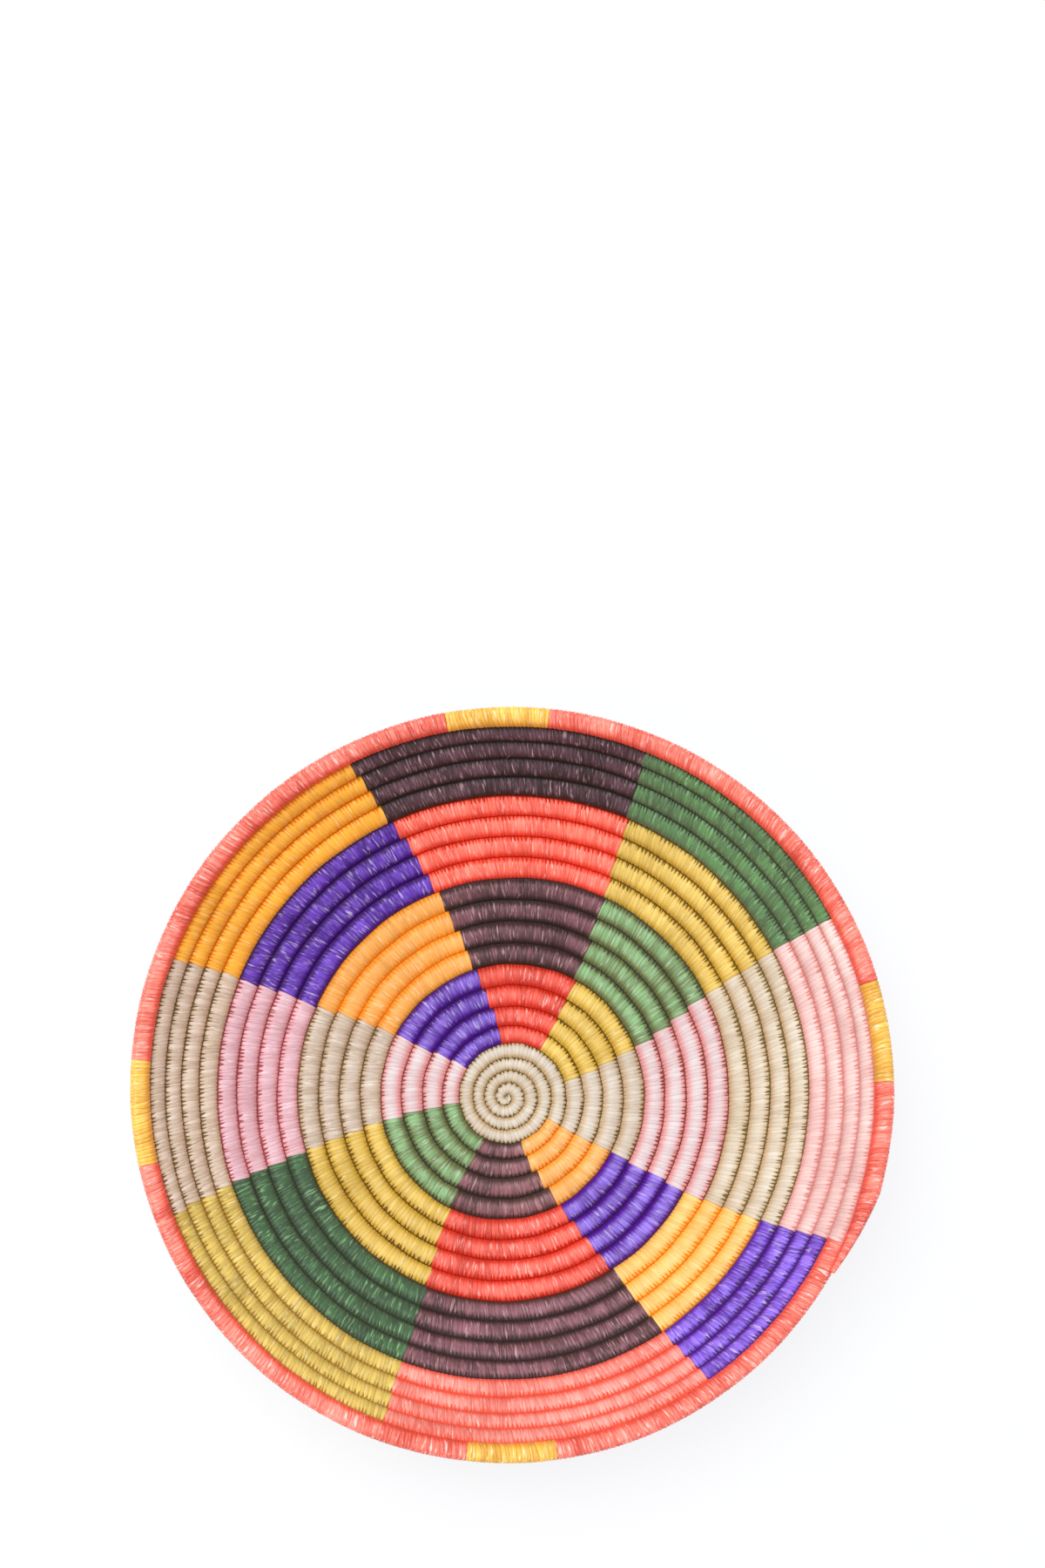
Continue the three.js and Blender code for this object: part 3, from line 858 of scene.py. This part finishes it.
# The dark knot of fibre that fills the eye: a tube round an upright axis, thin at both ends by a half sine.
def addEye(bundle):
    loops, around = middle["plugLoops"], middle["plugAround"]
    upward = np.linspace(*middle["plugEnds"], loops)[:, None]
    corner = np.arange(around)[None, :] * 2 * np.pi / around
    radius = middle["plugRadius"] * np.sin(np.pi * upward) ** 0.5
    centre = wallPoint(0, 0, 0, 0)
    x = centre[0] + radius * np.cos(corner)
    y = centre[1] + radius * np.sin(corner)
    z = np.broadcast_to(middle["plugTop"] * upward, x.shape)
    start = bundle.addTube(np.stack((x, y, z), axis=-1), np.zeros(loops))
    bundle.addLid(start, around, 0.0, forward=False)
    bundle.addLid(start + (loops - 1) * around, around, 0.0, forward=True)


# The natural middle, up to where the first dye starts. Returns the number of its strands.
def makeMiddle():
    bundle = Bundle()
    fromAngle = coil["startAngle"] + 360 * middle["from"]
    count = addSleeve(
        bundle, 0, fromAngle, borderAngle(0, 0), 0, seeds["middle"],
        boreFrom=grassFrom, share=middleShare, anchor=1,
    )
    addEye(bundle)
    settle(bundle.makePiece("natural_middle", finishes["natural"]), "centre_wrap", "sisal_natural")
    return count


# One colour block, with a wrapped length in each row of its ring. Returns the number of its strands.
def makeBlock(ring, sector, firstStrand):
    dye = sectors[sector]["dyes"][ring]
    bundle, count = Bundle(), 0
    for row in range(ring * rowsPerRing, (ring + 1) * rowsPerRing):
        seed = seeds["blocks"] + 10 * row + sector
        angles = borderAngle(sector, row), borderAngle(sector + 1, row)
        count += addSleeve(bundle, row, *angles, firstStrand + count, seed)
        addFuzz(bundle, row, *angles, seeds["fuzz"] + seed)
    name = f"ring_{ring + 1}_{dye}"
    finish = sisalFinish(name, dyes[dye], tones[name]) if name in tones else finishes[dye]
    settle(bundle.makePiece(name, finish), name + "_wrap", "sisal_" + dye)
    return count


strands = makeMiddle()
print("middle made")
for ring in range(rimRow // rowsPerRing):
    for sector in range(len(sectors)):
        strands += makeBlock(ring, sector, strands)
    print("ring", ring + 1, "made,", strands, "strands so far")


# The tail of the rim shrinks towards the row inside it, evenly from where it tapers to its tip.
def tailShare(angle):
    x = np.clip((angle - rim["taper"]) / (rim["tip"] - rim["taper"]), 0, 1)
    return 1 + (rim["tipShare"] - 1) * x


# One length of the rim between two angles. Returns the number of its strands.
def makeRim(name, node, dye, fromAngle, toAngle, firstStrand, seed, **shape):
    bundle = Bundle()
    count = addSleeve(bundle, rimRow, fromAngle, toAngle, firstStrand, seed, **shape)
    addFuzz(bundle, rimRow, fromAngle, min(toAngle, rim["taper"]), seeds["fuzz"] + seed)
    settle(bundle.makePiece(name, rimFinishes[dye]), node, "sisal_" + dye)
    return count


lengthFrom = borderAngle(0, rimRow)
for number, (yellowFrom, yellowTo) in enumerate(rim["yellow"], 1):
    for dye, lengthTo in (("coral", yellowFrom), ("yellow", yellowTo)):
        name, node = f"rim_{dye}_{number}", f"rim_{dye}_wrap_{number}"
        strands += makeRim(name, node, dye, lengthFrom, lengthTo, strands, seeds[dye] + number)
        lengthFrom = lengthTo
strands += makeRim(
    "rim_tail", "rim_tail_wrap", "coral", lengthFrom, rim["tip"], strands, seeds["tail"],
    boreTo=rim["taper"], share=tailShare,
)
print("rim made,", strands, "strands in all")


# The grass: one closed tube through every passage.
def makeGrass():
    bundle = Bundle()
    around = grass["shape"]["around"]
    startGap, endGap = grass["gaps"]
    loops, angles = passageLoops(0, grassFrom + startGap, grassTo - endGap, **grass["shape"])
    start = bundle.addTube(loops, angles * grass["mapPerDegree"])
    bundle.addLid(start, around, 0, forward=False)
    bundle.addLid(start + (len(loops) - 1) * around, around, 0, forward=True)
    settle(bundle.makePiece("grass_coil", finishes["grass"]), "foundation_coil", "grass")


makeGrass()
print("grass made")

studio = {
    "floorSize": 12.0,
    "floorColour": "#f7f8fb",
    "floorRoughness": 0.9,
    "backdrop": (0.975, 0.985, 1.0, 1.0),  # what the camera sees of floor and world, before the shadow
    "shadowShare": 0.16,  # how much of the floor's own shading shows in it
    "fillColour": (0.97, 0.985, 1.0, 1.0),
    "fill": 0.74,
    "keyPower": 31.0,
    "keySize": 1.1,
    "keyAt": (-0.55, 0.55, 2.05),
}


# The floor shows the backdrop's white to the camera and in reflections, and keeps a share of its own shading.
def floorFinish():
    finish = Finish("studio_floor")
    tree = finish.tree
    finish.surface.inputs["Base Color"].default_value = colourOf(studio["floorColour"])
    finish.surface.inputs["Roughness"].default_value = studio["floorRoughness"]
    finish.surface.inputs["Specular IOR Level"].default_value = 0.0
    rays = finish.add("ShaderNodeLightPath", {}, {}).socket.node.outputs
    seen = Wire(finish, rays["Is Camera Ray"]).larger(Wire(finish, rays["Is Glossy Ray"]))
    seen = seen.larger(Wire(finish, rays["Is Transmission Ray"]))
    white = finish.add("ShaderNodeEmission", {}, {"Color": studio["backdrop"], "Strength": 1.0})
    own = Wire(finish, finish.surface.outputs[0])
    mixed = finish.add("ShaderNodeMixShader", {}, {0: seen * (1 - studio["shadowShare"]), 1: own, 2: white})
    tree.links.new(mixed.socket, tree.nodes["Material Output"].inputs["Surface"])
    return finish.material


# The floor: one wide flat square under the basket.
def makeFloor():
    side = studio["floorSize"] / 2
    corners = [(-side, -side, 0), (side, -side, 0), (side, side, 0), (-side, side, 0)]
    mesh = bpy.data.meshes.new("floor")
    mesh.from_pydata(corners, [], [(0, 1, 2, 3)])
    mesh.materials.append(floorFinish())
    floor = bpy.data.objects.new("floor", mesh)
    bpy.context.scene.collection.objects.link(floor)


# The world lights the basket evenly with the fill, and the camera sees the backdrop in its place.
def makeWorld():
    world = bpy.data.worlds.new("studio")
    bpy.context.scene.world = world
    world.use_nodes = True
    nodes, links = world.node_tree.nodes, world.node_tree.links
    fill = nodes["Background"]
    fill.inputs["Color"].default_value = studio["fillColour"]
    fill.inputs["Strength"].default_value = studio["fill"]
    backdrop = nodes.new("ShaderNodeBackground")
    backdrop.inputs["Color"].default_value = studio["backdrop"]
    rays = nodes.new("ShaderNodeLightPath")
    choice = nodes.new("ShaderNodeMixShader")
    links.new(rays.outputs["Is Camera Ray"], choice.inputs[0])
    links.new(fill.outputs[0], choice.inputs[1])
    links.new(backdrop.outputs[0], choice.inputs[2])
    links.new(choice.outputs[0], nodes["World Output"].inputs["Surface"])


# The key lamp, aimed at the middle of the foot.
def makeKey():
    lamp = bpy.data.lights.new("key", "AREA")
    lamp.energy = studio["keyPower"]
    lamp.size = studio["keySize"]
    key = bpy.data.objects.new("key", lamp)
    key.location = studio["keyAt"]
    key.rotation_euler = (-Vector(studio["keyAt"])).to_track_quat("-Z", "Y").to_euler()
    bpy.context.scene.collection.objects.link(key)


view = {
    "aim": (0.0, 0.0, 0.06),  # middle of the rim
    "distance": 0.862,
    "towards": (-1.2, 4.0),  # degrees that the camera leans off the plumb line, to +X and to -Y
    "lens": 50.0,
    "sensor": 36.0,  # along the picture's height
    "picture": (1200, 1800),
    "aimPixel": (589.0, 1244.0),
    "clipStart": 0.01,
}


# The camera looks down on the rim, leaning by the tangents of its two angles. The picture is shifted so that
# the rim's middle falls on its pixel.
def makeCamera():
    leanX, leanY = np.radians(view["towards"])
    back = Vector((np.tan(leanX), -np.tan(leanY), 1)).normalized()
    right = Vector((0, 1, 0)).cross(back).normalized()
    turned = Matrix((right, back.cross(right), back)).transposed().to_4x4()
    camera = bpy.data.objects.new("camera", bpy.data.cameras.new("camera"))
    camera.matrix_world = Matrix.Translation(Vector(view["aim"]) + back * view["distance"]) @ turned
    width, height = view["picture"]
    camera.data.sensor_fit = "VERTICAL"
    camera.data.sensor_height = view["sensor"]
    camera.data.lens = view["lens"]
    camera.data.shift_x = (width / 2 - view["aimPixel"][0]) / height
    camera.data.shift_y = (view["aimPixel"][1] - height / 2) / height
    camera.data.clip_start = view["clipStart"]
    bpy.context.scene.collection.objects.link(camera)
    bpy.context.scene.camera = camera


makeFloor()
makeWorld()
makeKey()
makeCamera()
bpy.context.scene.view_settings.view_transform = "Standard"
print("studio made")
